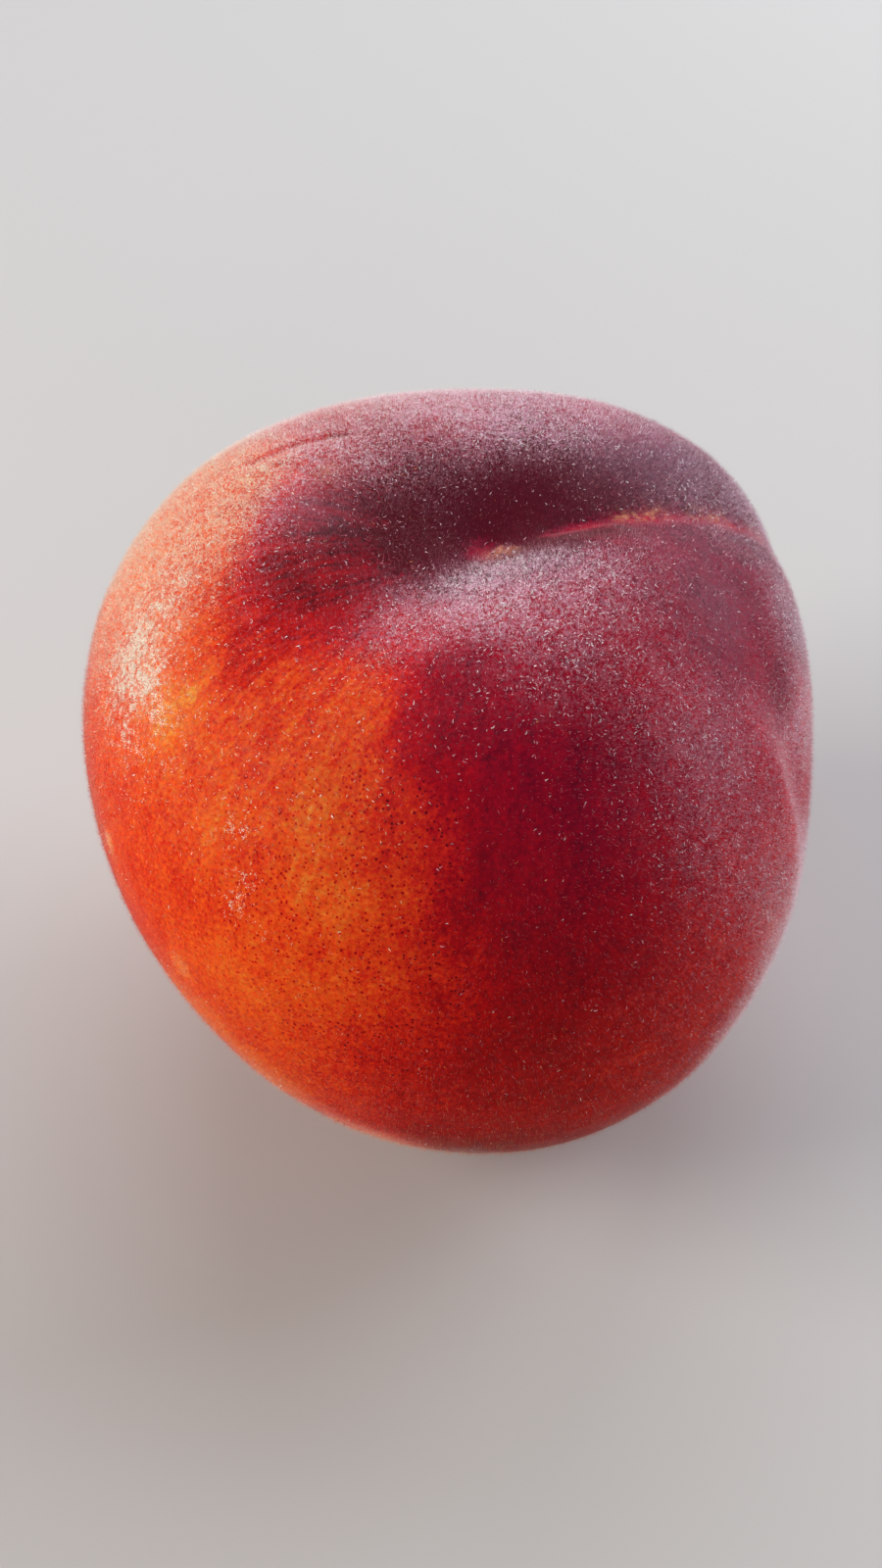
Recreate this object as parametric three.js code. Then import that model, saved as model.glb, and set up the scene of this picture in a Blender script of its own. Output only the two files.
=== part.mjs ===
// A whole ripe peach, one solid piece, stem cavity up, resting on a small flat spot beside its tip.
//
// Millimetres, +Z up. The origin is the middle of the bounding box's base, on the surface that
// the fruit rests on. The surface is one formula: the distance from the core to the skin in each
// direction. A direction is given by two angles in degrees about the stem axis: polar, 0 at the
// stem cavity and 180 at the far end, and azimuth, 0 towards +X and 90 towards +Y.
import * as THREE from "three";

// Body
const MEAN_RADIUS = 35.7;
const STEM_END_WIDENING = 0.03; // share of the radius that the stem end gains and the far end loses
const END_FLATTENING = 0.03; // share of the radius that both ends lose
const STEM_LEAN = 8; // degrees by which the stem axis leans from +Z towards +X
const REST_CUT = 0.7; // height that the resting spot's flat takes off the underside

// Broad swellings and hollows of the cheeks: direction, spread in degrees, height
const SWELLINGS = [
  { polar: 45, azimuth: 55, spread: 18, height: 3.8 }, // far shoulder, the fruit's highest rim
  { polar: 58, azimuth: 30, spread: 14, height: 2.4 }, // far lip of the suture
  { polar: 36, azimuth: 0, spread: 13, height: 1.0 }, // near lip of the suture
  { polar: 14, azimuth: -20, spread: 10, height: 3.0 }, // near brink of the cavity
  { polar: 22, azimuth: -70, spread: 13, height: 3.0 }, // near shoulder, in front of the cavity
  { polar: 42, azimuth: 105, spread: 16, height: 0.4 }, // back shoulder
  { polar: 55, azimuth: 140, spread: 24, height: 1.8 }, // back left shoulder
  { polar: 75, azimuth: 160, spread: 24, height: 1.4 }, // left cheek
  { polar: 68, azimuth: -12, spread: 14, height: -0.5 }, // right flank, nearly flat
  { polar: 116, azimuth: -52, spread: 23, height: 2.8 }, // lower right cheek
  { polar: 115, azimuth: -155, spread: 26, height: -1.2 }, // lower left flank, nearly flat
  { polar: 130, azimuth: -92, spread: 23, height: 1.7 }, // front of the underside
  { polar: 158, azimuth: -40, spread: 6, height: 0.8 }, // blunt tip
];

// Stem cavity, an oval funnel drawn out along the suture
const CAVITY = { depth: 8.8, spread: 20, power: 1.5, stretch: 1.2 };

// Suture: a valley with a crease in it, down one azimuth from the cavity to beside the tip
const SUTURE = {
  azimuth: 24,
  start: 0.25, // sine of the angle from the stem axis over which the valley begins
  valleyDepth: 1.7,
  valleySpread: 9.5,
  creaseDepth: 0.8,
  creaseSpread: 2.2,
  deepestPolar: 26,
  fadeSpread: 24,
  fadedShare: 0.3,
  endPolar: 150,
  endSpread: 14,
};

// Shallow lengthwise folds: a negative depth is a raised ridge, and offset is in degrees across
const FOLDS = [
  { azimuth: -140, offset: 0, depth: 2.0, spread: 15, polar: 26, length: 18 }, // left valley
  { azimuth: -19, offset: 0, depth: 1.1, spread: 6, polar: 60, length: 14 }, // right flank's fold
  { azimuth: -19, offset: -8.5, depth: -0.5, spread: 4.5, polar: 62, length: 13 }, // its near ridge
];
const FOLD_START = 0.3; // sine of the angle from the stem axis over which a fold begins

// Mesh: segments crowd towards the suture, and rings towards the cavity and the tip
const SEGMENTS = 80;
const RINGS = 48;
const SEGMENT_CROWDING = 0.6;
const RING_CROWDING = 0.35;

const radians = THREE.MathUtils.degToRad;
const degrees = THREE.MathUtils.radToDeg;
const bell = (distance, spread) => Math.exp(-((distance / spread) ** 2));

function direction(polar, azimuth) {
  return new THREE.Vector3(
    Math.sin(radians(polar)) * Math.cos(radians(azimuth)),
    Math.sin(radians(polar)) * Math.sin(radians(azimuth)),
    Math.cos(radians(polar)),
  );
}

// Where a direction lies from a valley that runs down an azimuth: degrees across it, and how far
// the valley has begun there, from 0 at the stem axis and behind it to 1.
function besideValley(polar, azimuth, valleyAzimuth, start) {
  const turn = radians(azimuth - valleyAzimuth);
  const out = Math.sin(radians(polar));
  const ahead = Math.cos(turn);
  const across = ahead > 0 ? Math.sin(turn) : Math.sign(Math.sin(turn));
  return {
    across: degrees(Math.asin(across * out)),
    begun: THREE.MathUtils.smoothstep(out * ahead, 0, start),
  };
}

function bodyRadius(polar) {
  const height = Math.cos(radians(polar));
  return MEAN_RADIUS * (1 + STEM_END_WIDENING * height - END_FLATTENING * height ** 2);
}

function swelling(towards) {
  return SWELLINGS.reduce((sum, { polar, azimuth, spread, height }) => {
    const nearness = towards.dot(direction(polar, azimuth)) - 1;
    return sum + height * Math.exp(nearness / radians(spread) ** 2);
  }, 0);
}

function cavityDepth(polar, azimuth) {
  const turn = radians(azimuth - SUTURE.azimuth);
  const out = Math.sin(radians(polar));
  const oval = Math.hypot((out * Math.cos(turn)) / CAVITY.stretch, out * Math.sin(turn));
  const angle = degrees(Math.atan2(oval, Math.cos(radians(polar))));
  return CAVITY.depth * Math.exp(-((angle / CAVITY.spread) ** CAVITY.power));
}

function sutureDepth(polar, azimuth) {
  const { across, begun } = besideValley(polar, azimuth, SUTURE.azimuth, SUTURE.start);
  const section =
    SUTURE.valleyDepth * bell(across, SUTURE.valleySpread) +
    SUTURE.creaseDepth / (1 + (across / SUTURE.creaseSpread) ** 2);
  const strength =
    SUTURE.fadedShare +
    (1 - SUTURE.fadedShare) * bell(polar - SUTURE.deepestPolar, SUTURE.fadeSpread);
  const end = 0.5 * (1 + Math.tanh((SUTURE.endPolar - polar) / SUTURE.endSpread));
  return begun * strength * end * section;
}

function foldDepth(polar, azimuth) {
  return FOLDS.reduce((sum, fold) => {
    const { across, begun } = besideValley(polar, azimuth, fold.azimuth, FOLD_START);
    const length = bell(polar - fold.polar, fold.length);
    return sum + fold.depth * begun * length * bell(across - fold.offset, fold.spread);
  }, 0);
}

function skinPoint(polar, azimuth) {
  const towards = direction(polar, azimuth);
  const radius =
    bodyRadius(polar) +
    swelling(towards) -
    cavityDepth(polar, azimuth) -
    sutureDepth(polar, azimuth) -
    foldDepth(polar, azimuth);
  return towards.multiplyScalar(radius);
}

// A share from 0 to 1 moved so that even steps crowd towards both ends.
function crowded(share, crowding) {
  return share - (crowding * Math.sin(2 * Math.PI * share)) / (2 * Math.PI);
}

// A sphere whose vertices are moved onto the skin: its seam runs along the suture.
function peachGeometry() {
  const geometry = new THREE.SphereGeometry(1, SEGMENTS, RINGS);
  const position = geometry.getAttribute("position");
  for (let i = 0; i < position.count; i++) {
    const ring = Math.floor(i / (SEGMENTS + 1));
    const segment = i % (SEGMENTS + 1);
    const polar = 180 * crowded(ring / RINGS, RING_CROWDING);
    const round = 360 * crowded((segment % SEGMENTS) / SEGMENTS, SEGMENT_CROWDING);
    const point = skinPoint(polar, SUTURE.azimuth + round);
    position.setXYZ(i, point.x, point.y, point.z);
  }
  geometry.rotateY(radians(STEM_LEAN));
  standOnFlatSpot(geometry);
  geometry.computeVertexNormals();
  return geometry;
}

// Flattens the underside at the resting height, and puts the origin under the box's middle.
function standOnFlatSpot(geometry) {
  geometry.computeBoundingBox();
  const { min, max } = geometry.boundingBox;
  const floor = min.z + REST_CUT;
  const position = geometry.getAttribute("position");
  for (let i = 0; i < position.count; i++) {
    position.setZ(i, Math.max(position.getZ(i), floor));
  }
  geometry.translate(-(min.x + max.x) / 2, -(min.y + max.y) / 2, -floor);
}

const skin = new THREE.MeshStandardMaterial({ color: 0xb8262c, roughness: 0.85, metalness: 0 });
const peach = new THREE.Mesh(peachGeometry(), skin);
peach.name = "peach";

const fruit = new THREE.Group();
fruit.add(peach);

export default fruit;
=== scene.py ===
"""A whole ripe peach with its down, on a pale floor in soft studio light.

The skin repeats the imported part's formula at a finer step and adds low relief. Shape lengths are
millimetres about the peach's core, and place() turns them into metres in the part's frame.
A direction is given by two angles in degrees about the stem axis: polar, 0 at the stem cavity,
and azimuth, 0 towards +X and 90 towards +Y.
"""

import math

import bpy
import numpy as np
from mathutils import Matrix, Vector, noise

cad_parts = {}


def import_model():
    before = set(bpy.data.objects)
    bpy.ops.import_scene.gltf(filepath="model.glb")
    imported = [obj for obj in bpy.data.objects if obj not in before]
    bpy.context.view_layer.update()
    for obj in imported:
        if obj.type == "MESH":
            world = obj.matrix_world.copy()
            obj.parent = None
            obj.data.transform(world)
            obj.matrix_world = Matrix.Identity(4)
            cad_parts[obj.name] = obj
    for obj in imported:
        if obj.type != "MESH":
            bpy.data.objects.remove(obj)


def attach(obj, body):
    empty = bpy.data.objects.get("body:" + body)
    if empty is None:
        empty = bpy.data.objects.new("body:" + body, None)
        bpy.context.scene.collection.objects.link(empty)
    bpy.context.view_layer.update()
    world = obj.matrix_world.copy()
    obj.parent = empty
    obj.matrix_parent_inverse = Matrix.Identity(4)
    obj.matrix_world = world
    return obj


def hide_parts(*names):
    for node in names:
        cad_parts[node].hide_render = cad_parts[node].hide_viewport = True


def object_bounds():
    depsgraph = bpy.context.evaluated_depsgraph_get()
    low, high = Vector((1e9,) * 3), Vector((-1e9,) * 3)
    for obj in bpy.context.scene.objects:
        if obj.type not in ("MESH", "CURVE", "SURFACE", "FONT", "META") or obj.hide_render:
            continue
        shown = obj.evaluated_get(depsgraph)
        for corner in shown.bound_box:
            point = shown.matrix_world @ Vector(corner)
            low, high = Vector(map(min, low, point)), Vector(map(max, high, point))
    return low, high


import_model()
cad_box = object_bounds()

MM = 0.001

# ---------------------------------------------------------------- shape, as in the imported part
MEAN_RADIUS = 35.7
STEM_END_WIDENING = 0.03
END_FLATTENING = 0.03
STEM_LEAN = 8.0

# polar, azimuth, spread in degrees, height
SWELLINGS = (
    (45, 55, 18, 3.8),  # far shoulder, the highest rim
    (58, 30, 14, 2.4),  # far lip of the suture
    (36, 0, 13, 1.0),  # near lip of the suture
    (14, -20, 10, 3.0),  # near brink of the cavity
    (22, -70, 13, 3.0),  # near shoulder
    (42, 105, 16, 0.4),  # back shoulder
    (55, 140, 24, 1.8),  # back left shoulder
    (75, 160, 24, 1.4),  # left cheek
    (68, -12, 14, -0.5),  # right flank
    (116, -52, 23, 2.8),  # lower right cheek
    (115, -155, 26, -1.2),  # lower left flank
    (130, -92, 23, 1.7),  # front of the underside
    (158, -40, 6, 0.8),  # blunt tip
)
CAVITY = {"depth": 8.8, "spread": 20.0, "power": 1.5, "stretch": 1.2}
SUTURE = {
    "azimuth": 24.0,
    "start": 0.25,
    "valley_depth": 1.7,
    "valley_spread": 9.5,
    "crease_depth": 0.8,
    "crease_spread": 2.2,
    "deepest_polar": 26.0,
    "fade_spread": 24.0,
    "faded_share": 0.3,
    "end_polar": 150.0,
    "end_spread": 14.0,
}
# azimuth, offset and spread across in degrees, depth, polar, length
FOLDS = (
    (-140, 0.0, 15.0, 2.0, 26, 18),  # left valley
    (-19, 0.0, 6.0, 1.1, 60, 14),  # right flank's fold
    (-19, -8.5, 4.5, -0.5, 62, 13),  # its near ridge
)
FOLD_START = 0.3

# ---------------------------------------------------------------- fine relief of the skin
SEGMENTS = 392  # round the stem axis, crowded towards the suture
RINGS = 240  # from the cavity to the tip, crowded towards the cavity
SEGMENT_CROWDING = 0.35
RING_CROWDING = 0.35
BUMPS = ((9.0, 0.14), (2.4, 0.030))  # distance apart, height
CREASE_REDNESS = {"polar": (5, 58), "width": 1.3, "beside": 0.6, "blush": 0.72}
WRINKLES = {"height": 0.02, "width": 1.3, "length": 9.0, "from": 4.0, "to": 55.0}
STEM_SCAR = {"polar": 3.0, "azimuth": -80.0, "radius": 1.35, "height": 1.2}
# The corky line along the suture's crease: from and to in polar degrees, strength
CORK_DASHES = ((21, 31, 1.0), (34, 42, 0.8), (46, 54, 0.35))
CORK_LINE = {"width": 0.75, "height": 0.18}
# Polar and azimuth of the points of the slit on the back left shoulder, and of the ridge below it
SLIT = ((41, 156), (35.1, 146.5), (31, 139.5))
SLIT_RIDGE = ((40, 161), (33.5, 152), (30, 145))
SLIT_CUT = {"depth": 0.30, "width": 0.42}
SLIT_RIDGE_RISE = {"height": 0.25, "width": 1.1}
SCAR_SPOT = (28.7, 156.8, 1.1)  # polar, azimuth, radius
# Polar, azimuth, radius and paleness of the yellow marks on the left limb
RIM_MARKS = ((86, -155, 1.0, 0.7), (91.5, -133.5, 1.3, 0.3))
RIM_MARK_BLUSH = 0.08
TIP_SCAR = (178, 0, 0.6)

# ---------------------------------------------------------------- what the skin is coloured by
# Blush: 0 is the yellow ground, 0.25 orange, 0.5 orange red, 0.75 crimson, 1 dark maroon.
GROUND_BLUSH = 0.66
GROUND_BLUSH_STRENGTH = 0.4
# polar, azimuth, spread in degrees, blush, strength
BLUSH_PATCHES = (
    (43, -80, 9, 0.85, 4.0),  # crimson middle of the near cheek
    (55, -80, 10, 0.80, 4.0),
    (48, -106, 4, 0.55, 3.0),  # between the orange band and the crimson
    (56, -99, 4, 0.70, 3.0),
    (65, -94, 5, 0.65, 3.0),
    (40, -98, 5, 0.70, 3.0),
    (48, -50, 14, 0.70, 3.0),  # right of the near cheek
    (70, -84, 9, 0.80, 3.0),  # red lower cheek
    (82, -82, 8, 0.80, 3.0),
    (94, -94, 9, 0.60, 3.0),  # orange red above the floor
    (82, -58, 13, 0.60, 3.0),  # lower right
    (100, -70, 12, 0.75, 2.0),
    (45, -130, 6, 0.30, 5.0),  # orange band, from the left valley down to the front
    (52.5, -116, 6, 0.25, 5.0),
    (60, -106, 6, 0.25, 5.0),
    (68, -100, 6, 0.35, 4.0),
    (75, -96, 6, 0.40, 3.0),
    (35, -127, 5, 0.40, 4.0),  # orange under the near shoulder
    (57, -152, 4, 0.05, 6.0),  # yellow patch on the left cheek
    (53, -161, 5, 0.30, 5.0),
    (58, -139, 5, 0.35, 4.0),  # redder streak between the patch and the band
    (62, -128, 5, 0.25, 4.0),
    (71, -158, 9, 0.35, 3.0),  # left limb
    (82, -137, 10, 0.35, 4.0),  # lower left
    (75, -115, 7, 0.30, 3.0),
    (35, -148, 6, 0.60, 4.0),  # left valley
    (27, -127, 5, 0.70, 4.0),  # left of the near shoulder
    (56, 171, 8, 0.25, 4.0),  # upper left limb
    (45, 179, 7, 0.30, 4.0),
    (41, 165, 8, 0.45, 3.0),
    (30, -168, 7, 0.80, 3.0),
    (17, -172, 7, 1.05, 6.0),  # left of the cavity
    (27, -178, 5, 1.00, 4.0),
    (33, -162, 3, 1.10, 4.0),
    # Blush past 1 on the cavity's far wall is painted shade in the hollow
    (13, 85, 11, 1.20, 7.0),  # cavity's far wall
    (4, 0, 5, 1.10, 4.0),
    (18, 40, 6, 1.00, 5.0),
    # Painted shadow of the stem scar: deep red beside it
    (1.5, -170, 2.5, 0.75, 12.0),  # red beside the stem scar
    (30, 50, 14, 1.00, 4.0),  # far shoulder
    (28, 110, 12, 0.70, 3.0),  # top
    (27, 100, 6, 0.50, 3.0),
    (31, 66, 6, 0.50, 3.0),
    (22, -10, 8, 0.85, 3.0),  # near lip of the suture
    (34, -15, 9, 0.95, 3.0),
    (42, 30, 7, 1.10, 3.0),  # far lip of the suture
    (31, -101, 4, 0.95, 3.0),  # dark red under the near shoulder
    (39, -100, 4, 0.90, 3.0),
    (29, -147, 4, 1.00, 3.0),  # left valley's dark end
    (84, -122, 6, 0.20, 3.0),  # orange beside the floor
    (96, -110, 6, 0.30, 3.0),
    # Painted shade on the underside: dark maroon where it faces the floor
    (114, -83, 9, 1.00, 2.0),  # front of the underside
    (77, -36, 7, 0.60, 3.0),  # right limb
    (60, -9, 5, 0.65, 3.0),
    (52, 3, 5, 1.00, 3.0),
    (51, -13, 3, 0.95, 4.0),  # the right flank's furrow
    (115, -98, 4, 0.30, 4.0),  # low limb
    (107, -117, 4, 0.15, 4.0),
    (101, -131, 4, 0.15, 4.0),
    (82, 132, 13, 0.20, 2.0),  # back
    (62, 112, 10, 0.60, 2.0),
    (84, 92, 14, 0.80, 2.0),
    (108, 112, 13, 0.50, 2.0),
    (100, 165, 13, 0.50, 2.0),
    (122, 145, 13, 0.30, 2.0),
    (62, 62, 12, 0.60, 2.0),
    (92, 40, 16, 0.75, 2.0),
    (120, 70, 16, 0.70, 2.0),
    (100, 5, 16, 0.75, 2.0),
    (132, 10, 18, 0.45, 1.5),  # underside
    (160, -90, 25, 0.60, 1.0),
)
# polar, azimuth, spread, amount of painted grey mauve sheen, the sky's reflection in the down
SKY_SHEEN_PATCHES = (
    (36, 42, 6, 0.45),  # far shoulder
    (28, 52, 5, 0.25),
    (31, 8, 5, 0.20),
    (34, -17, 5, 0.30),
    (28, 172, 4, 0.25),
    (45, -38, 6, 0.15),
)
# polar, azimuth, spread, how far the red turns to purple
COOL_PATCHES = (
    (15, 30, 22, 0.9),
    (40, -45, 25, 0.8),
    (46, -80, 14, 0.35),
    (30, 50, 25, 0.5),
)
COOL_LIMB = (72, -28, 16)  # polar, azimuth, spread where pale down is pink over orange skin
# polar, azimuth, spread, amount: where pale down is cream over red skin
WARM_LIMBS = ((118, -88, 24, 1.0), (46, 140, 14, 0.35))
# polar, azimuth, spread, strength of the streaks along meridians
STREAK_PATCHES = (
    (30, -172, 14, 0.7),  # left of the cavity
    (45, -145, 16, 0.7),  # left cheek
    (60, -120, 15, 0.5),
    (50, -80, 20, 0.3),
)
# polar, azimuth, spread, how clearly the small dark dots show
DOT_PATCHES = (
    (62, -104, 12, 1.0),  # lower near cheek
    (86, -104, 18, 0.9),
    (50, -96, 7, 0.6),
    (48, -125, 12, 0.25),
    (110, 90, 70, 0.5),  # back
)
# polar, azimuth, spread, how pale and thick the down shows, with painted sheen where the down is lit,
# strength
GROUND_DOWN_AND_SHEEN = 0.20
GROUND_DOWN_AND_SHEEN_STRENGTH = 0.15
DOWN_AND_SHEEN_PATCHES = (
    # Near shoulder: high values paint the sheen of down lit from behind
    (15.5, -98, 5, 1.10, 4.0),  # near shoulder
    (17.5, -56, 5, 0.80, 4.0),
    (23, -130, 5, 0.70, 3.0),
    (28, -79, 5, 0.70, 3.0),
    (35, -101, 4, 0.20, 3.0),
    (34, -98, 6, 0.10, 3.0),
    (47, -63, 5, 0.10, 3.0),
    (44, -84, 9, 0.00, 5.0),  # crimson middle of the near cheek
    (60, -84, 10, 0.00, 5.0),
    (78, -86, 9, 0.00, 4.0),
    (29, -42, 6, 0.25, 3.0),  # right cheek
    (42, -50, 8, 0.60, 3.0),
    (60, -42, 7, 0.45, 3.0),
    (78, -54, 7, 0.15, 3.0),
    (92, -66, 9, 0.05, 3.0),
    # Right limb: high values paint the pale rim light of the down
    (58, -5, 9, 0.60, 3.0),  # right limb
    (60, -10, 4, 1.10, 4.0),
    (52, 3, 4, 0.90, 3.0),
    (51, -13, 3, 0.20, 4.0),
    (75, -34, 7, 0.65, 3.0),
    (82, -24, 5, 1.10, 4.0),
    (89, -33, 4, 1.00, 4.0),
    (96, -41, 4, 0.80, 4.0),
    (51, 29, 4, 1.00, 3.0),
    (13, 0, 4, 0.00, 4.0),  # along the suture
    (21, -12, 4, 0.40, 3.0),
    (20, 36, 4, 0.10, 3.0),
    (22, 40, 4, 0.05, 3.0),
    (25, 12, 5, 0.15, 3.0),
    (33, -16, 5, 0.15, 3.0),
    (38, -14, 6, 0.15, 3.0),
    (9, 76, 6, 0.00, 5.0),  # cavity
    (17, -172, 6, 0.10, 4.0),
    (19, 120, 5, 0.25, 3.0),
    (27, 172, 5, 0.10, 3.0),
    (33, -162, 4, 0.00, 4.0),
    # Top: high values paint the grey sheen of the sky in the down
    (27, 100, 6, 1.15, 4.0),  # top
    (30, 138, 6, 0.85, 3.0),
    (36, 82, 4, 1.00, 3.0),
    (38, 116, 4, 1.10, 4.0),
    (33, 62, 7, 0.95, 3.0),  # far shoulder
    (38, 36, 7, 0.60, 4.0),
    (31, 42, 4, 0.05, 4.0),
    (38, 162, 7, 1.00, 3.0),  # upper left
    (46, 174, 7, 0.90, 3.0),
    (48, 145, 5, 1.10, 4.0),
    (60, 165, 5, 1.10, 4.0),
    (36, -166, 5, 0.35, 4.0),
    (29, -148, 4, 0.05, 3.0),  # left valley
    (44, -154, 6, 0.10, 4.0),
    # Left limb: high values paint the pale rim light of the down
    (60, -172, 8, 0.90, 3.0),  # left limb
    (74, -160, 8, 0.15, 3.0),
    (60, -138, 6, 0.15, 4.0),
    (85, -140, 9, 0.00, 3.0),
    (50, -122, 9, 0.15, 4.0),  # orange band
    (66, -112, 9, 0.00, 4.0),
    (82, -122, 6, 0.00, 3.0),
    (96, -110, 7, 0.00, 3.0),
    (95, -102, 12, 0.00, 3.0),
    (114, -83, 14, 0.00, 4.0),  # front of the underside
    (117, -97, 4, 0.35, 4.0),  # low limb
    (109, -116, 4, 0.25, 4.0),
    (101, -133, 5, 0.15, 4.0),
    (82, 125, 18, 0.45, 2.0),  # back
    (70, 75, 18, 0.60, 2.0),
    (108, 150, 20, 0.30, 2.0),
    (105, 70, 24, 0.35, 2.0),
    (95, 20, 18, 0.35, 2.0),
    (80, -4, 9, 0.50, 2.0),
    (150, 0, 40, 0.15, 2.0),  # underside
)
# polar, azimuth, spread, thickness: where clumps of cream hairs lie, whose paleness paints the glints of
# the down
GLITTER_PATCHES = (
    (61, -168, 4.5, 0.50),
    (58, -163, 4.5, 0.42),
    (66, -162, 4.5, 0.38),
    (62, -153, 5.0, 0.30),
    (55, -172, 5.5, 0.32),
    (46, -179, 7.0, 0.28),
    (62, -130, 1.8, 0.45),  # small groups on the orange band
    (66.8, -127, 1.8, 0.45),
    (71, -125.7, 1.8, 0.45),
    (73.3, -119.5, 1.6, 0.40),
)

# How the slit, its ridge and the crease change the blush and the down
# Darker, and with less down, along the slit
SLIT_DARKER_AND_BALD = {"width": 0.4, "blush": 0.12, "bald": 0.7}
# Paler along the ridge: partly down, partly the painted highlight of the lit ridge
RIDGE_DOWN_AND_SHEEN = {"width": 0.7, "down_and_sheen": 0.35}
CREASE_BALD = 0.5
COOL_FROM_BLUSH = (0.42, 0.66)  # the down turns from cream to pink over this much blush

# ---------------------------------------------------------------- down
# Each kind of hair is a strip that ends in a point. A sliver, a speck or a glitter hair is one
# triangle, a curl three and a long hair eleven. tilt is how far it may lean from upright, thin is
# how thick it stands where the down shows least, as a share of the thickest, pale is added to its
# paleness, and varied is how much that varies. A flat one turns its face outwards.
SLIVER = {
    "length": (0.28, 0.55), "width": 0.024, "tilt": (0, 8), "points": 2, "thin": 0.12, "pale": 0.30,
    "varied": 0.10,
}
FINE_CURL = {
    "length": (0.22, 0.60), "width": 0.050, "tilt": (40, 82), "bend": 140, "points": 3, "thin": 0.03,
    "varied": 0.22, "flat": True,
}
BOLD_CURL = {
    "length": (0.18, 0.50), "width": 0.125, "tilt": (60, 84), "bend": 150, "points": 3, "thin": 0.02,
    "pale": 0.28, "varied": 0.34, "flat": True,
}
SPECK = {
    "length": (0.10, 0.16), "width": 0.120, "tilt": (65, 80), "points": 2, "thin": 0.12, "pale": 0.5,
    "varied": 0.2, "flat": True,
}
# Real hairs, made pale cream to paint the glints of the down in the sun
GLITTER_HAIR = {
    "length": (0.16, 0.30), "width": 0.210, "tilt": (70, 88), "points": 2, "pale": 0.70, "varied": 0.20,
    "flat": True,
}
LONG_HAIR = {
    "length": (0.9, 1.7), "width": 0.045, "tilt": (72, 84), "bend": 170, "points": 7, "pale": 0.3,
    "varied": 0.1, "flat": True,
}
# name, kind, count, and how much they gather in clumps, 0 to 1
FINE_DOWN = (("down_slivers_1", SLIVER, 172000, 0.0), ("down_slivers_2", SLIVER, 172000, 0.0))
CURLED_DOWN = (
    ("down_fine_curls", FINE_CURL, 62000, 0.2),
    ("down_bold_curls", BOLD_CURL, 62000, 0.4),
    ("down_specks", SPECK, 7000, 0.3),
)
GLITTER_HAIRS = 90000  # drawn, before those outside the clumps are dropped
GLITTER_CLUMPS = {"size": 0.42, "group_size": 2.2, "group_share": 0.5, "bar": 0.56, "lowered": 0.55}
SWIRL = (42.6, -27, 1.6)  # polar, azimuth, spread in degrees of a swirl of long hairs on the right cheek
SWIRL_HAIRS = 12
CLUMP_SIZE = 1.1  # millimetres from one clump of curls to the next
ROOT_DEPTH = 0.03  # how far a hair's root sinks into the skin
FLOOR_GAP = 0.10  # no hair reaches lower than this

# ---------------------------------------------------------------- light
# name, azimuth, elevation, metres away, metres across, watts, colour
LAMPS = (
    ("key_left", -172, 28, 0.75, 0.40, 4.7, (1.0, 0.94, 0.86)),
    ("sky_back", 85, 42, 0.85, 0.70, 3.7, (0.91, 0.94, 1.0)),
    ("rim_right", 30, 25, 0.75, 0.45, 3.9, (0.93, 0.95, 1.0)),
    ("fill_front", -80, 16, 0.80, 0.35, 0.7, (1.0, 0.96, 0.90)),
)
WORLD_COLOUR = (0.86, 0.88, 0.92, 1)
WORLD_STRENGTH = 0.17

# ---------------------------------------------------------------- camera, from the photograph
CAMERA_DISTANCE = 165.0  # from the core
CAMERA_ELEVATION = 48.0
PHOTO_SIZE = (900, 1600)
FOCAL_PIXELS = 1662.0
CORE_PIXEL = (459.0, 787.0)
SENSOR = 36.0


# ================================================================ formula


def bell(distance, spread):
    return np.exp(-((distance / spread) ** 2))


def smoothstep(value, start, end):
    share = np.clip((value - start) / (end - start), 0, 1)
    return share * share * (3 - 2 * share)


def direction(polar, azimuth):
    p, a = np.radians(polar), np.radians(azimuth)
    return np.stack([np.sin(p) * np.cos(a), np.sin(p) * np.sin(a), np.cos(p)], axis=-1)


def nearness(towards, polar, azimuth, spread):
    """1 in the given direction, falling off round it like a bell."""
    cosine = towards @ direction(polar, azimuth)
    return np.exp((cosine - 1) / math.radians(spread) ** 2)


def beside_valley(polar, azimuth, valley_azimuth, start):
    """Degrees across a valley that runs down an azimuth, and how far it has begun, 0 to 1."""
    turn = np.radians(azimuth - valley_azimuth)
    out, ahead = np.sin(np.radians(polar)), np.cos(turn)
    across = np.where(ahead > 0, np.sin(turn), np.sign(np.sin(turn)))
    return np.degrees(np.arcsin(across * out)), smoothstep(out * ahead, 0, start)


def body_radius(polar):
    height = np.cos(np.radians(polar))
    return MEAN_RADIUS * (1 + STEM_END_WIDENING * height - END_FLATTENING * height**2)


def swelling(towards):
    return sum(h * nearness(towards, p, a, s) for p, a, s, h in SWELLINGS)


def cavity_depth(polar, azimuth):
    turn = np.radians(azimuth - SUTURE["azimuth"])
    out = np.sin(np.radians(polar))
    oval = np.hypot(out * np.cos(turn) / CAVITY["stretch"], out * np.sin(turn))
    angle = np.degrees(np.arctan2(oval, np.cos(np.radians(polar))))
    return CAVITY["depth"] * np.exp(-((angle / CAVITY["spread"]) ** CAVITY["power"]))


def suture_depth(polar, azimuth):
    s = SUTURE
    across, begun = beside_valley(polar, azimuth, s["azimuth"], s["start"])
    section = s["valley_depth"] * bell(across, s["valley_spread"])
    section += s["crease_depth"] / (1 + (across / s["crease_spread"]) ** 2)
    strength = s["faded_share"]
    strength += (1 - s["faded_share"]) * bell(polar - s["deepest_polar"], s["fade_spread"])
    end = 0.5 * (1 + np.tanh((s["end_polar"] - polar) / s["end_spread"]))
    return begun * strength * end * section


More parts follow.
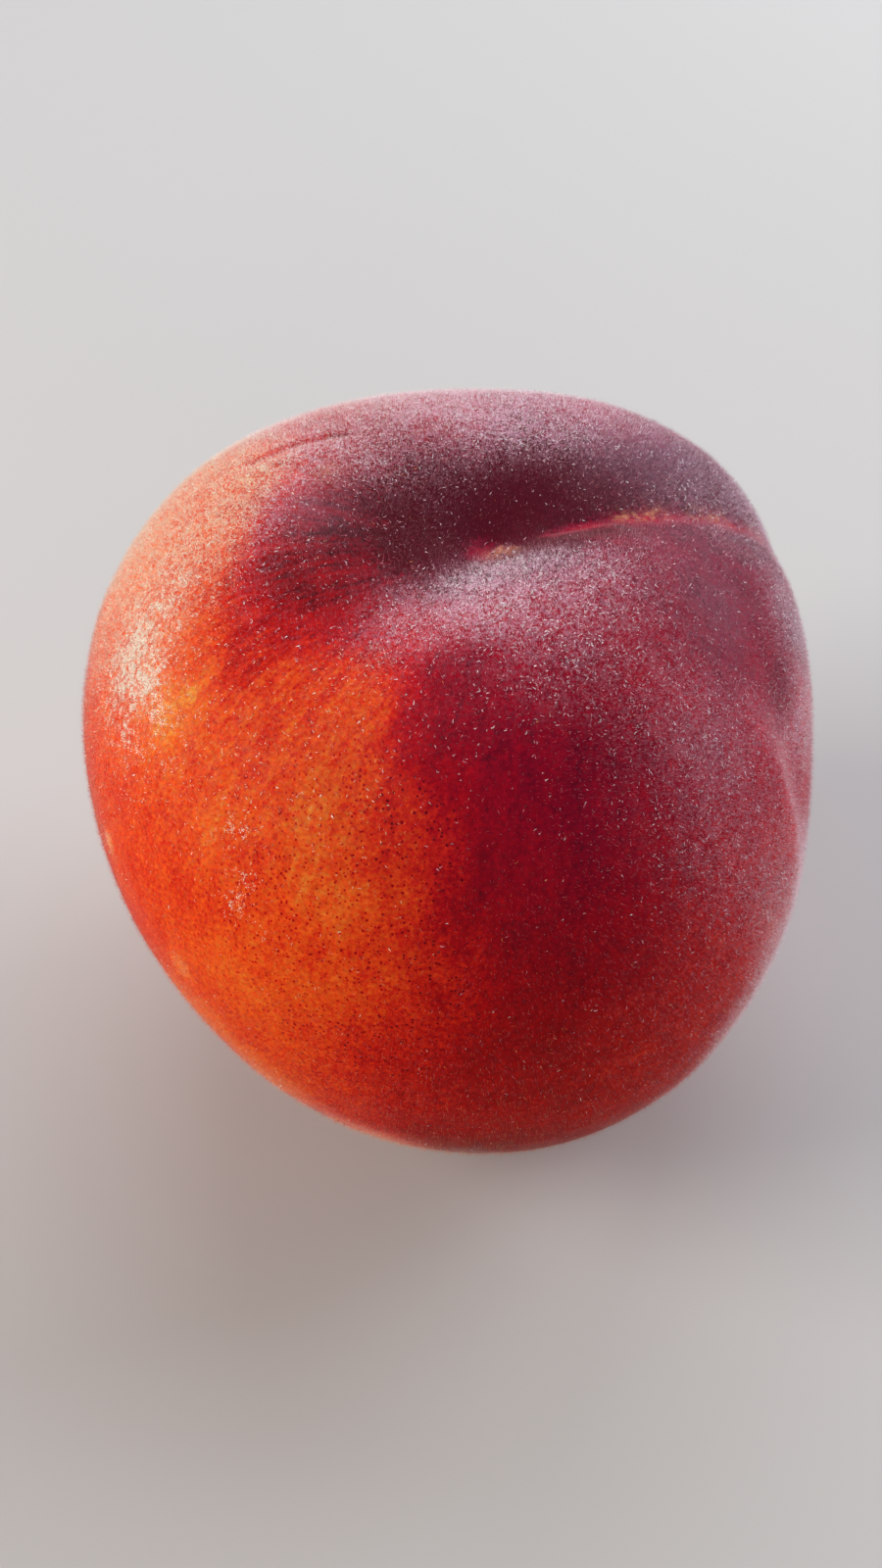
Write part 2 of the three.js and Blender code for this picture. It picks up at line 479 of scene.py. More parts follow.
def fold_depth(polar, azimuth):
    total = 0
    for fold_azimuth, offset, spread, depth, middle, length in FOLDS:
        across, begun = beside_valley(polar, azimuth, fold_azimuth, FOLD_START)
        total = total + depth * begun * bell(polar - middle, length) * bell(across - offset, spread)
    return total


def smooth_radius(polar, azimuth):
    """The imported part's surface: distance from the core to the skin."""
    radius = body_radius(polar) + swelling(direction(polar, azimuth))
    radius -= cavity_depth(polar, azimuth) + suture_depth(polar, azimuth)
    return radius - fold_depth(polar, azimuth)


def lean(points):
    """Turns the stem axis from +Z towards +X."""
    angle = math.radians(STEM_LEAN)
    x, y, z = np.moveaxis(points, -1, 0)
    across = x * math.cos(angle) + z * math.sin(angle)
    up = z * math.cos(angle) - x * math.sin(angle)
    return np.stack([across, y, up], axis=-1)


# ================================================================ mesh helpers


def new_object(name, vertices, corners, sides, material):
    """An object from a flat list of corner vertices. sides is each face's number of corners."""
    mesh = bpy.data.meshes.new(name)
    mesh.vertices.add(len(vertices))
    mesh.vertices.foreach_set("co", np.asarray(vertices, np.float32).ravel())
    mesh.loops.add(len(corners))
    mesh.loops.foreach_set("vertex_index", np.asarray(corners, np.int32))
    mesh.polygons.add(len(sides))
    starts = np.concatenate([[0], np.cumsum(sides)[:-1]])
    mesh.polygons.foreach_set("loop_start", starts.astype(np.int32))
    mesh.polygons.foreach_set("use_smooth", np.ones(len(sides), bool))
    mesh.update(calc_edges=True)
    mesh.materials.append(material)
    made = bpy.data.objects.new(name, mesh)
    bpy.context.scene.collection.objects.link(made)
    return made


def set_attribute(mesh, name, values):
    made = mesh.attributes.new(name, "FLOAT", "POINT")
    made.data.foreach_set("value", np.asarray(values, np.float32).ravel())


def set_uv(mesh, corner_uv):
    layer = mesh.uv_layers.new(name="OFBake")
    layer.data.foreach_set("uv", np.asarray(corner_uv, np.float32).ravel())


def bumps(points, size, octaves=2):
    """Smooth noise about -1 to 1, with its bumps about size apart."""
    places = (points.reshape(-1, 3) / size).tolist()
    found = [noise.fractal(place, 1.0, 2.0, octaves) for place in places]
    return np.array(found).reshape(points.shape[:-1])


# ================================================================ material helpers


def feed(tree, socket, value):
    if isinstance(value, bpy.types.NodeSocket):
        tree.links.new(value, socket)
    else:
        socket.default_value = value


def add_node(tree, kind, inputs=None, **settings):
    made = tree.nodes.new("ShaderNode" + kind)
    for name, value in settings.items():
        setattr(made, name, value)
    for name, value in (inputs or {}).items():
        feed(tree, made.inputs[name], value)
    return made


def maths(tree, operation, a, b=0.0, c=0.0):
    return add_node(tree, "Math", {0: a, 1: b, 2: c}, operation=operation).outputs[0]


def scaled(tree, vector, factor):
    return add_node(tree, "VectorMath", {0: vector, 3: factor}, operation="SCALE").outputs[0]


def mix_colour(tree, factor, a, b, blend="MIX"):
    made = add_node(tree, "Mix", data_type="RGBA", blend_type=blend)
    for index, value in ((0, factor), (6, a), (7, b)):
        value = (*value, 1) if isinstance(value, tuple) else value
        feed(tree, made.inputs[index], value)
    return made.outputs[2]


def remap(tree, value, low, high, to_low=0.0, to_high=1.0):
    inputs = {0: value, 1: low, 2: high, 3: to_low, 4: to_high}
    return add_node(tree, "MapRange", inputs, interpolation_type="SMOOTHSTEP").outputs[0]


def spots(tree, place_mm, size, detail=2.0, roughness=0.5):
    """Noise from 0 to 1 with its spots about size millimetres apart."""
    inputs = {"Vector": place_mm, "Scale": 1 / size, "Detail": detail, "Roughness": roughness}
    return add_node(tree, "TexNoise", inputs).outputs[0]


def ramp(tree, factor, stops, interpolation="LINEAR"):
    made = add_node(tree, "ValToRGB", {0: factor})
    made.color_ramp.interpolation = interpolation
    elements = made.color_ramp.elements
    while len(elements) < len(stops):
        elements.new(0.5)
    for element, (position, colour) in zip(elements, stops):
        element.position, element.color = position, (*colour, 1)
    return made.outputs[0]


def attribute(tree, name, output="Fac"):
    return add_node(tree, "Attribute", attribute_name=name).outputs[output]


def new_material(name):
    made = bpy.data.materials.new(name)
    made.use_nodes = True
    return made, made.node_tree, made.node_tree.nodes["Principled BSDF"]


# ================================================================ skin material

WARM_COLOURS = (
    (0.00, (0.85, 0.30, 0.04)),
    (0.14, (0.84, 0.15, 0.012)),
    (0.30, (0.83, 0.080, 0.006)),
    (0.48, (0.69, 0.020, 0.003)),
    (0.66, (0.48, 0.003, 0.0015)),
    (0.82, (0.31, 0.002, 0.0015)),
    (0.92, (0.19, 0.0015, 0.002)),
    (1.00, (0.085, 0.0008, 0.0015)),
)
COOL_COLOURS = (
    (0.00, (0.80, 0.40, 0.10)),
    (0.30, (0.74, 0.07, 0.020)),
    (0.48, (0.66, 0.018, 0.020)),
    (0.66, (0.46, 0.003, 0.022)),
    (0.82, (0.31, 0.002, 0.024)),
    (0.92, (0.19, 0.002, 0.022)),
    (1.00, (0.085, 0.001, 0.010)),
)
# Colour of the painted sheen that stands for the sky's reflection in the down
SKY_SHEEN_COLOUR = (0.27, 0.15, 0.21)
# The pale veil of down too fine to see singly, which also paints the sheen of lit down, over orange and
# over crimson skin
WARM_HAZE = (0.84, 0.62, 0.42)
COOL_HAZE = (0.72, 0.36, 0.50)
HAZE_AMOUNT = (0.06, 0.82)
HAZE_POWER = 1.5
CORK_COLOUR = (0.60, 0.24, 0.13)
SKIN_ROUGHNESS = (0.50, 0.72)
# size in millimetres and amount of each noise that shifts the blush
MOTTLING = ((6.0, 0.36), (1.6, 0.30), (0.40, 0.62))
# closeness and amount of each noise drawn out along the meridians
STREAKS = ((1.0, 0.62), (3.2, 0.40))
DOTS = {"spacing": 0.44, "size": 0.10, "varied": 0.22, "edge": 0.10, "blush": 0.42}
SKIN_BUMP = {"Strength": 0.35, "Distance": 0.08 * MM}
SKIN_SETTINGS = {
    "Specular IOR Level": 0.06,
    "Subsurface Weight": 0.15,
    "Subsurface Radius": (1.0, 0.35, 0.2),
    "Subsurface Scale": 0.3 * MM,
    "Sheen Weight": 0.4,
    "Sheen Roughness": 0.20,
    "Sheen Tint": (1.0, 0.90, 0.86, 1),
}


def skin_material():
    """Colour comes from the blush, which is mottled, streaked along meridians and dotted."""
    made, tree, shader = new_material("peach_skin")
    place = scaled(tree, add_node(tree, "TexCoord").outputs["Object"], 1 / MM)
    meridian = attribute(tree, "meridian", "Vector")
    blush = attribute(tree, "blush")

    def shifted(value, pattern, amount):
        return maths(tree, "MULTIPLY_ADD", maths(tree, "SUBTRACT", pattern, 0.5), amount, value)

    # Crimson skin is less mottled than the rest
    mottled = remap(tree, blush, 0.62, 0.90, 1.0, 0.5)
    streaky = attribute(tree, "streaked")
    for size, amount in MOTTLING:
        uneven = maths(tree, "MULTIPLY", mottled, amount)
        blush = shifted(blush, spots(tree, place, size, 3.0, 0.65), uneven)
    for closeness, amount in STREAKS:
        drawn_out = scaled(tree, meridian, closeness)
        uneven = maths(tree, "MULTIPLY", streaky, amount)
        blush = shifted(blush, spots(tree, drawn_out, 1.0, 3.0, 0.6), uneven)

    # Small dark dots, mostly where orange turns to red
    cell_inputs = {"Vector": place, "Scale": 1 / DOTS["spacing"], "Randomness": 1.0}
    cells = add_node(tree, "TexVoronoi", cell_inputs)
    dot_size = maths(tree, "MULTIPLY_ADD", cells.outputs["Color"], DOTS["varied"], DOTS["size"])
    inside = maths(tree, "SUBTRACT", dot_size, cells.outputs["Distance"])
    dots = remap(tree, inside, -DOTS["edge"], DOTS["edge"])
    dotted = maths(tree, "MULTIPLY", attribute(tree, "dotted"), remap(tree, blush, 0.78, 0.55))
    dots = maths(tree, "MULTIPLY", dots, dotted)
    blush = maths(tree, "MULTIPLY_ADD", dots, DOTS["blush"], blush)

    warm, cool = ramp(tree, blush, WARM_COLOURS), ramp(tree, blush, COOL_COLOURS)
    colour = mix_colour(tree, attribute(tree, "cool"), warm, cool)
    grain = spots(tree, place, 0.45, 2.0, 0.7)
    lightness = remap(tree, grain, 0.25, 0.75, 0.86, 1.14)
    shade = add_node(tree, "CombineColor", {0: lightness, 1: lightness, 2: lightness}).outputs[0]
    colour = mix_colour(tree, 1.0, colour, shade, "MULTIPLY")

    # Painted sheen: the pale veil of the down, thickest where the down is lit, mixed into the skin's
    # colour
    haze_colour = mix_colour(tree, attribute(tree, "hazy_cool"), WARM_HAZE, COOL_HAZE)
    thickness = maths(tree, "POWER", attribute(tree, "down_and_sheen"), HAZE_POWER)
    flecks = shifted(spots(tree, place, 0.30, 2.0, 0.8), spots(tree, place, 1.3, 2.0, 0.6), 0.35)
    haze = maths(tree, "MULTIPLY", thickness, remap(tree, flecks, 0.42, 0.63, *HAZE_AMOUNT))
    colour = mix_colour(tree, haze, colour, haze_colour)
    # Painted sheen: the grey mauve reflection of the sky in the down, mixed into the skin's colour
    sky_sheen = maths(tree, "MULTIPLY", attribute(tree, "sky_sheen"), remap(tree, grain, 0.2, 0.8, 0.5, 1.2))
    colour = mix_colour(tree, sky_sheen, colour, SKY_SHEEN_COLOUR)
    cork = maths(tree, "MULTIPLY", attribute(tree, "cork"), remap(tree, spots(tree, place, 0.5), 0.3, 0.6))
    colour = mix_colour(tree, cork, colour, CORK_COLOUR)
    feed(tree, shader.inputs["Base Color"], colour)

    rough = remap(tree, spots(tree, place, 1.1, 3.0), 0.3, 0.7, *SKIN_ROUGHNESS)
    feed(tree, shader.inputs["Roughness"], rough)
    pores = maths(tree, "MULTIPLY_ADD", dots, -0.6, grain)
    bump = add_node(tree, "Bump", {**SKIN_BUMP, "Height": pores})
    feed(tree, shader.inputs["Normal"], bump.outputs[0])
    for name, value in SKIN_SETTINGS.items():
        shader.inputs[name].default_value = value
    return made


# ================================================================ skin


def beside_path(towards, path):
    """Millimetres from a path of directions drawn on the skin."""
    nearest = np.full(towards.shape[:-1], 1e9)
    point = towards * MEAN_RADIUS
    for start, end in zip(path, path[1:]):
        a, b = direction(*start) * MEAN_RADIUS, direction(*end) * MEAN_RADIUS
        share = np.clip((point - a) @ (b - a) / ((b - a) @ (b - a)), 0, 1)
        nearest = np.minimum(nearest, np.linalg.norm(point - a - share[..., None] * (b - a), axis=-1))
    return nearest


def meridian_place(polar, azimuth):
    """Coordinates in which noise is drawn out along the meridians."""
    a = np.radians(azimuth)
    around = MEAN_RADIUS * 0.5 / WRINKLES["width"]
    return np.stack(
        [np.cos(a) * around, np.sin(a) * around, np.radians(polar) * MEAN_RADIUS / WRINKLES["length"]],
        axis=-1,
    )


def around_point(towards, polar, azimuth, radius):
    """1 at a point of the skin, falling off round it like a bell of that radius in millimetres."""
    return bell(beside_path(towards, ((polar, azimuth), (polar + 0.01, azimuth))), radius)


def crease_line(polar, azimuth):
    """1 on the corky dashes in the suture's crease."""
    across, begun = beside_valley(polar, azimuth, SUTURE["azimuth"], SUTURE["start"])
    wander = 0.5 * bumps(np.stack([polar / 4, 0 * polar, 0 * polar], -1), 1.0)
    beside = np.radians(across) * MEAN_RADIUS - wander
    dashes = sum(
        strength * smoothstep(polar, start - 1, start + 2) * smoothstep(polar, end + 1, end - 2)
        for start, end, strength in CORK_DASHES
    )
    return bell(beside, CORK_LINE["width"]) * dashes * begun


def crease_redness(polar, azimuth):
    """1 on the red band that runs along the suture's crease."""
    across, begun = beside_valley(polar, azimuth, SUTURE["azimuth"], SUTURE["start"])
    beside = np.radians(across) * MEAN_RADIUS + CREASE_REDNESS["beside"]
    first, last = CREASE_REDNESS["polar"]
    length = smoothstep(polar, first, first + 5) * smoothstep(polar, last, last - 10)
    uneven = 0.65 + 0.35 * bumps(direction(polar, azimuth) * MEAN_RADIUS, 2.0)
    return uneven * bell(beside, CREASE_REDNESS["width"]) * length * smoothstep(begun, 0, 0.5)


def cork_amount(polar, azimuth, towards):
    """1 on the corky line of the suture and on the scars, 0 elsewhere."""
    flecks = smoothstep(bumps(towards * MEAN_RADIUS, 0.7), -0.25, 0.15)
    line = crease_line(polar, azimuth) * flecks
    stem = around_point(towards, STEM_SCAR["polar"], STEM_SCAR["azimuth"], STEM_SCAR["radius"])
    spot = 0.45 * around_point(towards, *SCAR_SPOT)
    tip = around_point(towards, *TIP_SCAR)
    return np.clip(line + 1.2 * stem + spot + tip, 0, 1)


def relief(polar, azimuth, towards):
    """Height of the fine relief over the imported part's surface."""
    point = towards * MEAN_RADIUS
    height = sum(h * bumps(point, size) for size, h in BUMPS)
    ringed = smoothstep(polar, WRINKLES["from"], 14) * smoothstep(polar, WRINKLES["to"], 25)
    height += WRINKLES["height"] * ringed * bumps(meridian_place(polar, azimuth), 1.0)
    height -= SLIT_CUT["depth"] * bell(beside_path(towards, SLIT), SLIT_CUT["width"])
    ridge = bell(beside_path(towards, SLIT_RIDGE), SLIT_RIDGE_RISE["width"])
    height += SLIT_RIDGE_RISE["height"] * ridge
    rough = 1 + 0.8 * bumps(point, 0.8)
    stem = around_point(towards, STEM_SCAR["polar"], STEM_SCAR["azimuth"], STEM_SCAR["radius"])
    height += STEM_SCAR["height"] * rough * stem
    return height + CORK_LINE["height"] * rough * crease_line(polar, azimuth)


def blended(towards, patches, ground, ground_strength):
    """Mean of the ground value and the patches' values, by how near and strong each is."""
    total, weight = ground * ground_strength, ground_strength
    for p, a, s, value, strength in patches:
        near = strength * nearness(towards, p, a, s)
        total, weight = total + value * near, weight + near
    return total / weight


def patches_at(towards, patches):
    """Sum of patches, no more than 1."""
    found = sum(amount * nearness(towards, p, a, s) for p, a, s, amount in patches)
    return np.minimum(found, 1)


share = np.linspace(0, 1, RINGS + 1)[:, None]
turn = (np.arange(SEGMENTS) / SEGMENTS)[None, :]
polar = 180 * (share - RING_CROWDING * np.sin(np.pi * share) / np.pi) + 0 * turn
crowded_turn = turn - SEGMENT_CROWDING * np.sin(2 * np.pi * turn) / (2 * np.pi)
azimuth = SUTURE["azimuth"] + 360 * crowded_turn + 0 * share
towards = direction(polar, azimuth)

# The core sits in the part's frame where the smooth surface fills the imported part's box.
smooth = lean(towards * smooth_radius(polar, azimuth)[..., None])
low, high = smooth.min((0, 1)), smooth.max((0, 1))
cad_low, cad_high = (np.array(corner) / MM for corner in cad_box)
core = (cad_low + cad_high) / 2 - (low + high) / 2
core[2] = cad_high[2] - high[2]


def place(points):
    """From millimetres about the core to metres in the part's frame, flat where it rests."""
    placed = lean(points) + core
    placed[..., 2] = np.maximum(placed[..., 2], 0)
    return placed * MM


crease = crease_redness(polar, azimuth)
slit = bell(beside_path(towards, SLIT), SLIT_DARKER_AND_BALD["width"])
slit_ridge = bell(beside_path(towards, SLIT_RIDGE), RIDGE_DOWN_AND_SHEEN["width"])
blush = blended(towards, BLUSH_PATCHES, GROUND_BLUSH, GROUND_BLUSH_STRENGTH)
blush += crease * (CREASE_REDNESS["blush"] - blush) + SLIT_DARKER_AND_BALD["blush"] * slit
down_and_sheen = blended(towards, DOWN_AND_SHEEN_PATCHES, GROUND_DOWN_AND_SHEEN, GROUND_DOWN_AND_SHEEN_STRENGTH)
down_and_sheen = down_and_sheen * (1 - CREASE_BALD * crease) * (1 - SLIT_DARKER_AND_BALD["bald"] * slit)
down_and_sheen = down_and_sheen + RIDGE_DOWN_AND_SHEEN["down_and_sheen"] * slit_ridge
for mark_polar, mark_azimuth, mark_radius, paleness in RIM_MARKS:
    mark = around_point(towards, mark_polar, mark_azimuth, mark_radius)
    blush += mark * (RIM_MARK_BLUSH - blush)
    down_and_sheen += mark * paleness
coolness = np.maximum(smoothstep(blush, *COOL_FROM_BLUSH), nearness(towards, *COOL_LIMB))
coolness *= 1 - patches_at(towards, WARM_LIMBS)
radius = smooth_radius(polar, azimuth) + relief(polar, azimuth, towards)
skin_points = place(towards * radius[..., None])

# One vertex at each end, and a ring of vertices at each polar angle between them
vertices = np.concatenate([skin_points[:1, 0], skin_points[1:-1].reshape(-1, 3), skin_points[-1:, 0]])
index = np.concatenate(
    [
        np.zeros((1, SEGMENTS), int),
        1 + np.arange((RINGS - 1) * SEGMENTS).reshape(RINGS - 1, SEGMENTS),
        np.full((1, SEGMENTS), 1 + (RINGS - 1) * SEGMENTS),
    ]
)
right = np.roll(index, -1, axis=1)
quads = np.stack([index[1:-2], index[2:-1], right[2:-1], right[1:-2]], -1).reshape(-1, 4)
top_fan = np.stack([index[0], index[1], right[1]], -1)
tip_fan = np.stack([index[-1], right[-2], index[-2]], -1)
corners = np.concatenate([top_fan.ravel(), quads.ravel(), tip_fan.ravel()])
sides = np.concatenate([np.full(SEGMENTS, 3), np.full(len(quads), 4), np.full(SEGMENTS, 3)])


def per_vertex(grid):
    """A grid's values in the order of the vertices."""
    return np.concatenate([grid[:1, 0], grid[1:-1].reshape(-1, *grid.shape[2:]), grid[-1:, 0]])


skin = new_object("peach_skin", vertices, corners, sides, skin_material())
skin_values = {
    "blush": blush,
    "down_and_sheen": down_and_sheen,
    "hazy_cool": coolness,
    "dotted": patches_at(towards, DOT_PATCHES),
    "sky_sheen": patches_at(towards, SKY_SHEEN_PATCHES),
    "cool": patches_at(towards, COOL_PATCHES),
    "cork": cork_amount(polar, azimuth, towards),
    "streaked": smoothstep(polar, 10, 30) * patches_at(towards, STREAK_PATCHES),
}
for name, values in skin_values.items():
    set_attribute(skin.data, name, per_vertex(values))
meridian = skin.data.attributes.new("meridian", "FLOAT_VECTOR", "POINT")
meridian.data.foreach_set("vector", per_vertex(meridian_place(polar, azimuth)).astype(np.float32).ravel())

# The map for baking: turn across, polar angle up. The fans' corners at the ends take the middle.
step = 1 / SEGMENTS
left_u, up_v = turn[0], 1 - polar[:, 0] / 180
fan_u = np.stack([left_u + step / 2, left_u, left_u + step], -1)
top_uv = np.stack([fan_u, np.tile([1, up_v[1], up_v[1]], (SEGMENTS, 1))], -1)
tip_u = np.stack([left_u + step / 2, left_u + step, left_u], -1)
tip_uv = np.stack([tip_u, np.tile([0, up_v[-2], up_v[-2]], (SEGMENTS, 1))], -1)
quad_u = np.tile(np.stack([left_u, left_u, left_u + step, left_u + step], -1), (RINGS - 2, 1, 1))
quad_v = np.stack([up_v[1:-2], up_v[2:-1], up_v[2:-1], up_v[1:-2]], -1)[:, None].repeat(SEGMENTS, 1)
quad_uv = np.stack([quad_u, quad_v], -1)
set_uv(skin.data, np.concatenate([top_uv.reshape(-1, 2), quad_uv.reshape(-1, 2), tip_uv.reshape(-1, 2)]))

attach(skin, "root")
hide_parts("peach")


# ================================================================ down


# The left half of the map is for warm hairs, over orange skin, and the right half for cool ones.
# In each half a hair is paler to the right.
DOWN_COLOURS = (
    (0.00, (0.62, 0.10, 0.02)),
    (0.15, (0.85, 0.30, 0.12)),
    (0.33, (1.00, 0.68, 0.48)),
    (0.49, (1.00, 0.98, 0.86)),
    (0.51, (0.20, 0.006, 0.012)),
    (0.62, (0.48, 0.09, 0.14)),
    (0.80, (0.88, 0.50, 0.60)),
    (1.00, (1.00, 0.93, 0.98)),
)
HAIR_TRANSLUCENCE = 0.12


def down_material(name, roughness, specular):
    """Translucent hair. The map's first axis says how it is coloured, and its second runs to the tip."""
    made, tree, shader = new_material(name)
    uv = add_node(tree, "UVMap", uv_map="OFBake").outputs[0]
    parts = add_node(tree, "SeparateXYZ", {0: uv})
    colour = ramp(tree, parts.outputs[0], DOWN_COLOURS)
    along = ramp(tree, parts.outputs[1], ((0.0, (0.92, 0.86, 0.86)), (0.4, (1.0, 1.0, 1.0))))
    colour = mix_colour(tree, 1.0, colour, along, "MULTIPLY")
    feed(tree, shader.inputs["Base Color"], colour)
    shader.inputs["Roughness"].default_value = roughness
    shader.inputs["Specular IOR Level"].default_value = specular
    through = add_node(tree, "BsdfTranslucent", {"Color": colour})
    both = add_node(tree, "MixShader", {0: HAIR_TRANSLUCENCE, 1: shader.outputs[0], 2: through.outputs[0]})
    feed(tree, tree.nodes["Material Output"].inputs["Surface"], both.outputs[0])
    return made


normals = np.empty(len(vertices) * 3, np.float32)
skin.data.vertex_normals.foreach_get("vector", normals)
normals = normals.reshape(-1, 3).astype(float)
quad_points = vertices[quads]
diagonals = quad_points[:, 2] - quad_points[:, 0], quad_points[:, 3] - quad_points[:, 1]
quad_towards = per_vertex(towards)[quads].mean(1)
quad_down_and_sheen, quad_cool = (per_vertex(grid)[quads].mean(1) for grid in (down_and_sheen, coolness))
quad_areas = np.linalg.norm(np.cross(*diagonals), axis=1)


def unit(vectors):
    return vectors / np.linalg.norm(vectors, axis=-1, keepdims=True)


def roots(chance, chosen, kind):
    """Places scattered over chosen faces: place, normal and colour column."""
    count = len(chosen)
    u, v = chance.random((2, count, 1))
    weights = np.stack([(1 - u) * (1 - v), u * (1 - v), u * v, (1 - u) * v])
    found = (weights * np.moveaxis(vertices[quads[chosen]], 1, 0)).sum(0)
    normal = unit((weights * np.moveaxis(normals[quads[chosen]], 1, 0)).sum(0))
    # Hairs are paler where the down carries painted sheen
    pale = quad_down_and_sheen[chosen] + kind.get("pale", 0) + chance.normal(size=count) * kind["varied"]
    pale = np.clip(pale, 0.02, 0.98)
    cool = chance.random(count) < quad_cool[chosen]
    return found, normal, 0.49 * pale + 0.51 * cool


def drawn_faces(chance, count, weight):
    """Faces drawn by their area times a weight."""
    heap = np.cumsum(quad_areas * weight)
    return np.searchsorted(heap, chance.random(count) * heap[-1])


def hairs(chance, rooted, kind):
    """Hair centre lines and sideways half widths, without the hairs that reach the floor."""
    place, normal, column = rooted
    amount = len(place)
    sideways = unit(np.cross(normal, chance.normal(size=(amount, 3))))
    tilt = np.radians(chance.uniform(*kind["tilt"], (amount, 1)))
    heading = normal * np.cos(tilt) + sideways * np.sin(tilt)
    steps = kind["points"] - 1
    bend = np.radians(kind.get("bend", 0)) * chance.uniform(-1, 1, (amount, 1))
    bend_towards = unit(np.cross(normal, heading) + 0.25 * chance.normal(size=(amount, 3)))
    bend_towards = unit(bend_towards - (bend_towards * heading).sum(1, keepdims=True) * heading)
    length = chance.uniform(*kind["length"], (amount, 1)) * MM / steps
    any_side = unit(np.cross(heading, chance.normal(size=(amount, 3))))
    width = kind["width"] * MM * chance.uniform(0.45, 1.0, (amount, 1))
    line, half = [place - normal * ROOT_DEPTH * MM], []
    for i in range(steps):
        angle = bend * i / steps
        step = heading * np.cos(angle) + bend_towards * np.sin(angle)
        line.append(line[-1] + step * length)
        side = unit(np.cross(step, normal)) if kind.get("flat") else any_side
        half.append(side * width / 2 * (1 - 0.5 * i / steps))
    line, half = np.stack(line, axis=1), np.stack(half, axis=1)
    kept = line[..., 2].min(1) > FLOOR_GAP * MM
    return line[kept], half[kept], column[kept]


def down_piece(name, chance, rooted, kind, material):
    """One mesh of hairs: each a flat strip that ends in a point."""
    line, half, column = hairs(chance, rooted, kind)
    amount, steps = half.shape[:2]
    strip = np.stack([line[:, :-1] - half, line[:, :-1] + half], axis=2).reshape(amount, -1, 3)
    strip = np.concatenate([strip, line[:, -1:]], axis=1)
    per_hair = strip.shape[1]
    faces = [(i, i + 1, i + 2) if i % 2 == 0 else (i + 1, i, i + 2) for i in range(per_hair - 2)]
    pattern = np.array(faces).ravel()
    corners = (np.arange(amount)[:, None] * per_hair + pattern).ravel()
    made = new_object(name, strip.reshape(-1, 3), corners, np.full(amount * len(faces), 3), material)
    across = np.append(np.tile([-0.4, 0.4], steps), 0.0)
    along = np.append(np.repeat(np.arange(steps), 2) / steps, 1.0)
    u = column[:, None] + across[pattern] / 256
    v = np.tile(along[pattern], (amount, 1))
    set_uv(made.data, np.stack([u, v], -1))
    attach(made, "root")


fine_down = down_material("peach_fine_down", 0.55, 0.20)
curled_down = down_material("peach_curled_down", 0.38, 0.6)
quad_middles = quad_points.mean(1) / MM
clumps = smoothstep(bumps(quad_middles, CLUMP_SIZE), -0.35, 0.45)
layers = [(*layer, fine_down) for layer in FINE_DOWN] + [(*layer, curled_down) for layer in CURLED_DOWN]
for number, (name, kind, count, clumped, material) in enumerate(layers):
    chance = np.random.default_rng(11 + number)
    thickness = kind["thin"] + (1 - kind["thin"]) * quad_down_and_sheen
    faces = drawn_faces(chance, count, thickness * (1 - clumped + clumped * clumps))
    down_piece(name, chance, roots(chance, faces, kind), kind, material)

# Glitter hairs in clumps, then the swirl of long hairs, with one generator for both
chance = np.random.default_rng(31)
# Painted glints: pale cream hairs gathered where the down glints
faces = drawn_faces(chance, GLITTER_HAIRS, patches_at(quad_towards, GLITTER_PATCHES))
found = roots(chance, faces, GLITTER_HAIR)
found_mm = found[0] / MM
groups = bumps(found_mm, GLITTER_CLUMPS["size"])
groups = groups + GLITTER_CLUMPS["group_share"] * bumps(found_mm, GLITTER_CLUMPS["group_size"])
thick = patches_at(quad_towards, GLITTER_PATCHES)[faces]
in_clump = groups > GLITTER_CLUMPS["bar"] - GLITTER_CLUMPS["lowered"] * thick
found = [part[in_clump] for part in found]
down_piece("down_glitter", chance, found, GLITTER_HAIR, curled_down)
faces = drawn_faces(chance, SWIRL_HAIRS, nearness(quad_towards, *SWIRL))
down_piece("down_swirl", chance, roots(chance, faces, LONG_HAIR), LONG_HAIR, curled_down)


# ================================================================ stage, light and camera

FLOOR_RADIUS = 3.0
FLOOR_COLOUR = (0.58, 0.57, 0.56)


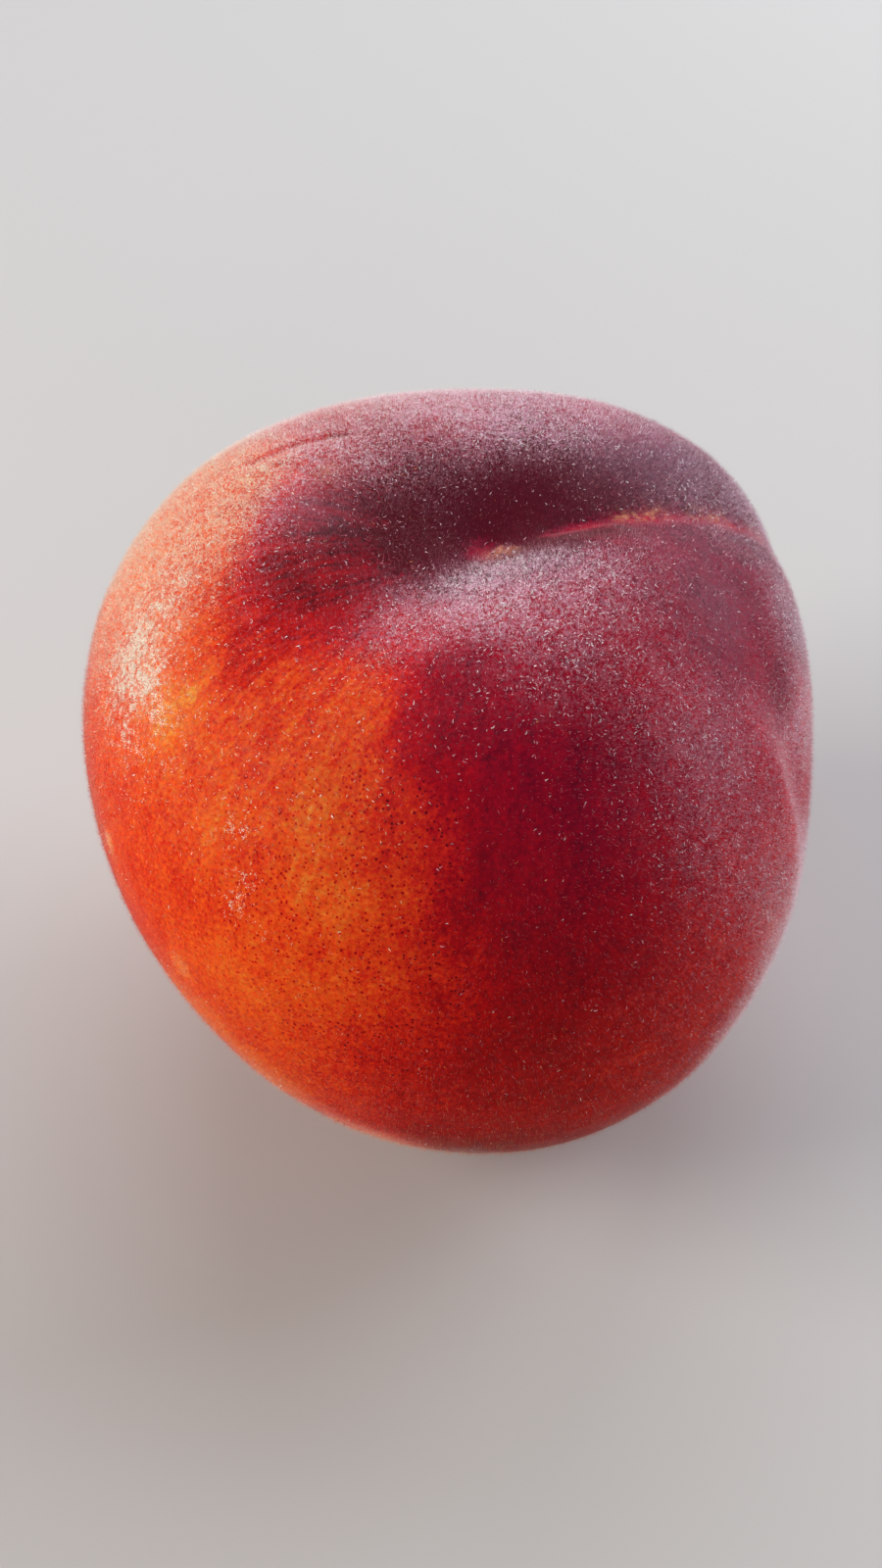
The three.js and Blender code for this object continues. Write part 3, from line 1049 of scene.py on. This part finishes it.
def floor():
    made, tree, shader = new_material("studio_floor")
    place = add_node(tree, "TexCoord").outputs["Object"]
    soft = add_node(tree, "TexNoise", {"Vector": place, "Scale": 6.0, "Detail": 3.0}).outputs[0]
    pale = tuple(0.96 * part for part in FLOOR_COLOUR)
    feed(tree, shader.inputs["Base Color"], mix_colour(tree, soft, FLOOR_COLOUR, pale))
    shader.inputs["Roughness"].default_value = 0.75
    angles = np.linspace(0, 2 * np.pi, 96, endpoint=False)
    rim = np.stack([np.cos(angles), np.sin(angles), 0 * angles], -1) * FLOOR_RADIUS
    disc = new_object("studio_floor", rim, np.arange(96), np.array([96]), made)


def area_light(name, azimuth, elevation, distance, size, power, colour):
    """A square lamp that looks at the peach. Azimuth 0 is towards +X and 90 is behind it."""
    data = bpy.data.lights.new(name, "AREA")
    data.shape, data.size, data.energy, data.color = "SQUARE", size, power, colour
    lamp = bpy.data.objects.new(name, data)
    bpy.context.scene.collection.objects.link(lamp)
    towards_lamp = Vector(direction(90 - elevation, azimuth).tolist())
    lamp.location = Vector((core * MM).tolist()) + towards_lamp * distance
    lamp.rotation_euler = towards_lamp.to_track_quat("Z", "Y").to_euler()
    lamp.visible_camera = False


def world():
    made = bpy.data.worlds.new("studio_world")
    made.use_nodes = True
    background = made.node_tree.nodes["Background"]
    background.inputs["Color"].default_value = WORLD_COLOUR
    background.inputs["Strength"].default_value = WORLD_STRENGTH
    bpy.context.scene.world = made


def camera():
    """Looks along +Y and down, turned a little so that the core is at its pixel in the photograph."""
    angle = math.radians(CAMERA_ELEVATION)
    back = Vector((0, -math.cos(angle), math.sin(angle)))
    data = bpy.data.cameras.new("camera")
    data.sensor_width = SENSOR
    data.lens = FOCAL_PIXELS * SENSOR / max(PHOTO_SIZE)
    data.clip_start, data.clip_end = 0.01, 20
    made = bpy.data.objects.new("camera", data)
    bpy.context.scene.collection.objects.link(made)
    made.location = Vector((core * MM).tolist()) + back * CAMERA_DISTANCE * MM
    offset_x = (CORE_PIXEL[0] - PHOTO_SIZE[0] / 2) / FOCAL_PIXELS
    offset_y = (PHOTO_SIZE[1] / 2 - CORE_PIXEL[1]) / FOCAL_PIXELS
    straight = back.to_track_quat("Z", "Y")
    turned = Vector((offset_x, offset_y, -1)).rotation_difference(Vector((0, 0, -1)))
    made.rotation_mode = "QUATERNION"
    made.rotation_quaternion = straight @ turned
    bpy.context.scene.camera = made


floor()
world()
for lamp_facts in LAMPS:
    area_light(*lamp_facts)
camera()
bpy.context.scene.view_settings.view_transform = "Standard"
